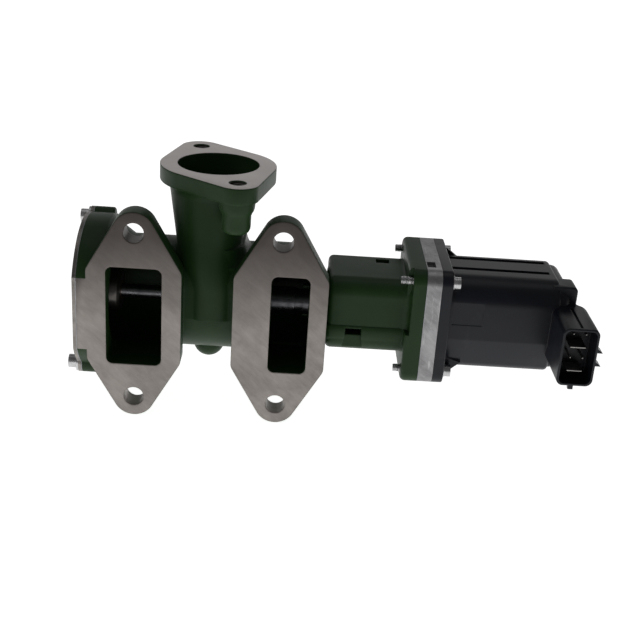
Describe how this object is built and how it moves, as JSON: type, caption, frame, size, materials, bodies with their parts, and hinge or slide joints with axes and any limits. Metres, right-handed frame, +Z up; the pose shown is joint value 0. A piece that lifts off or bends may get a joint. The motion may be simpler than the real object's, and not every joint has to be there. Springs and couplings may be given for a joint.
{
  "type": "egr valve",
  "caption": "Exhaust gas recirculation valve: green cast body with flanged inlets and a round outlet neck, aluminium adapter plate, black electric actuator and side connector.",
  "frame": {"origin": "centre of the four manifold screw holes, on the machined inlet faces", "axes": "+X along the valve stem towards the actuator, +Y away from the inlet faces into the valve, +Z up along the outlet neck"},
  "size_m": [0.3001, 0.1089, 0.1432],
  "materials": {
    "green_paint": "satin",
    "cast_aluminium": "worn satin",
    "black_plastic": "moulded grain",
    "zinc_steel": "zinc plated",
    "bright_steel": "ground",
    "heat_steel": "turned",
    "seat_steel": "ground",
    "bronze": "sintered",
    "black_rubber": "matt",
    "gasket_steel": "matt",
    "spring_steel": "oiled",
    "core_steel": "laminated",
    "copper": "enamelled wire",
    "magnet": "sintered",
    "board": "solder mask",
    "tinned_copper": "tin plated"
  },
  "bodies": {
    "casting": {"valve_body": "green_paint", "end_cover": "bright_steel", "end_cover_gasket": "gasket_steel", "cover_screws": "zinc_steel", "end_bushing": "bronze", "left_valve_seat": "seat_steel", "right_valve_seat": "seat_steel", "guide_bushing": "bright_steel", "shaft_seal": "black_rubber", "return_spring": "spring_steel", "spring_seat": "bright_steel", "adapter_gasket": "gasket_steel", "adapter_plate": "cast_aluminium", "actuator_housing": "black_plastic", "housing_seal": "black_rubber", "actuator_screws": "zinc_steel", "stator_core": "core_steel", "stator_coils": "copper", "front_outer_race": "bright_steel", "rear_outer_race": "bright_steel", "sensor_board": "board", "signal_pins": "tinned_copper", "power_blades": "tinned_copper"},
    "valve": {"valve_shaft": "bright_steel", "left_poppet": "heat_steel", "right_poppet": "heat_steel", "poppet_spacer": "bright_steel", "shaft_nut": "zinc_steel", "spring_retainer": "heat_steel", "retainer_clip": "zinc_steel"},
    "lead_screw": {"lead_screw": "bright_steel"},
    "rotor": {"rotor_sleeve": "bright_steel", "rotor_magnet": "magnet", "front_inner_race": "bright_steel", "rear_inner_race": "bright_steel", "front_bearing_balls": "bright_steel", "rear_bearing_balls": "bright_steel"}
  },
  "joints": [
    {"name": "valve_lift", "type": "slide", "parent": "casting", "child": "valve", "axis": [-1, 0, 0], "range_m": [0, 0.009], "stiffness_N_per_m": 1500, "springref_m": -0.004, "deforming": ["return_spring"]},
    {"name": "lead_screw_travel", "type": "slide", "parent": "casting", "child": "lead_screw", "axis": [-1, 0, 0], "range_m": [0, 0.009]},
    {"name": "rotor_spin", "type": "hinge", "parent": "casting", "child": "rotor", "pos_m": [0.16488, 0.04, 0], "axis": [1, 0, 0], "range_deg": [0, 540.5]}
  ],
  "couplings": [
    {"joint": "lead_screw_travel", "follows": "valve_lift", "ratio": 1},
    {"joint": "rotor_spin", "follows": "valve_lift", "rad_per_m": 1047.2}
  ]
}
